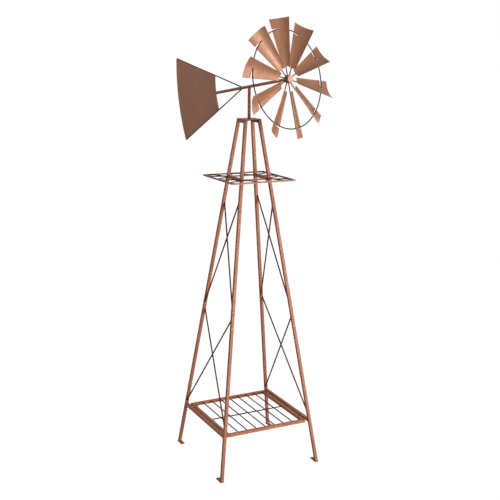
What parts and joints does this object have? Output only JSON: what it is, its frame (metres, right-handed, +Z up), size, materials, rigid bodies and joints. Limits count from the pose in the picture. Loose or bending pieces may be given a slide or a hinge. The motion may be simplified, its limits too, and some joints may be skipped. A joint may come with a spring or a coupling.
{
  "type": "garden windmill",
  "caption": "Ornamental garden windmill: tapered four-leg tube tower with a plant shelf and a scroll tray, and a turning head with a multi-blade wheel and a tail vane.",
  "frame": {"origin": "On the ground at the centre of the four feet, below the mast's axis", "axes": "+Z up along the mast, -Y the front that the open shelf faces, +X to the right seen from the front; the head stands turned 18.16 degrees from -Y towards +X"},
  "size_m": [0.516, 0.7221, 1.8367],
  "materials": {
    "frame_coat": "satin",
    "wire_coat": "satin",
    "blade_sheet": "satin",
    "vane_sheet": "satin",
    "cap_copper": "satin",
    "plated_steel": "satin"
  },
  "bodies": {
    "tower": {"brace_lower_left_a": "wire_coat", "brace_lower_left_b": "wire_coat", "brace_lower_right_a": "wire_coat", "brace_lower_right_b": "wire_coat", "brace_upper_left_a": "wire_coat", "brace_upper_left_b": "wire_coat", "brace_upper_right_a": "wire_coat", "brace_upper_right_b": "wire_coat", "cap_plate": "frame_coat", "foot_plates": "frame_coat", "leg_back_left": "frame_coat", "leg_back_right": "frame_coat", "leg_front_left": "frame_coat", "leg_front_right": "frame_coat", "lower_rail_left": "frame_coat", "lower_rail_right": "frame_coat", "shelf_bars": "wire_coat", "shelf_bolts": "plated_steel", "shelf_cross_bar": "wire_coat", "shelf_nuts": "plated_steel", "shelf_rail_back": "frame_coat", "shelf_rail_front": "frame_coat", "shelf_rail_left": "frame_coat", "shelf_rail_right": "frame_coat", "shelf_spacers": "plated_steel", "swivel_pin": "plated_steel", "thrust_washer": "plated_steel", "top_rail_left": "frame_coat", "top_rail_right": "frame_coat", "tray_bar_back": "frame_coat", "tray_bar_front": "frame_coat", "tray_bar_left": "frame_coat", "tray_bar_right": "frame_coat", "tray_cross_rail_back": "frame_coat", "tray_cross_rail_front": "frame_coat", "tray_rail_left": "frame_coat", "tray_rail_right": "frame_coat", "tray_scroll": "wire_coat"},
    "head": {"axle_lock_nut": "plated_steel", "axle_washers": "plated_steel", "boom": "frame_coat", "mast": "frame_coat", "tail_vane": "vane_sheet", "vane_strut_lower": "wire_coat", "vane_strut_upper": "wire_coat", "wheel_axle": "plated_steel"},
    "wheel": {"blade_01": "blade_sheet", "blade_02": "blade_sheet", "blade_03": "blade_sheet", "blade_04": "blade_sheet", "blade_05": "blade_sheet", "blade_06": "blade_sheet", "blade_07": "blade_sheet", "blade_08": "blade_sheet", "blade_09": "blade_sheet", "blade_10": "blade_sheet", "hub_cap": "cap_copper", "wheel_hub": "frame_coat", "wheel_ring": "wire_coat", "wheel_spokes": "wire_coat"}
  },
  "joints": [
    {"name": "head_yaw", "type": "hinge", "parent": "tower", "child": "head", "pos_m": [0, 0, 1.5], "axis": [0, 0, 1], "continuous": true},
    {"name": "wheel_spin", "type": "hinge", "parent": "head", "child": "wheel", "pos_m": [0.06527, -0.199, 1.60259], "axis": [0.3072, -0.9365, 0.1693], "continuous": true}
  ]
}
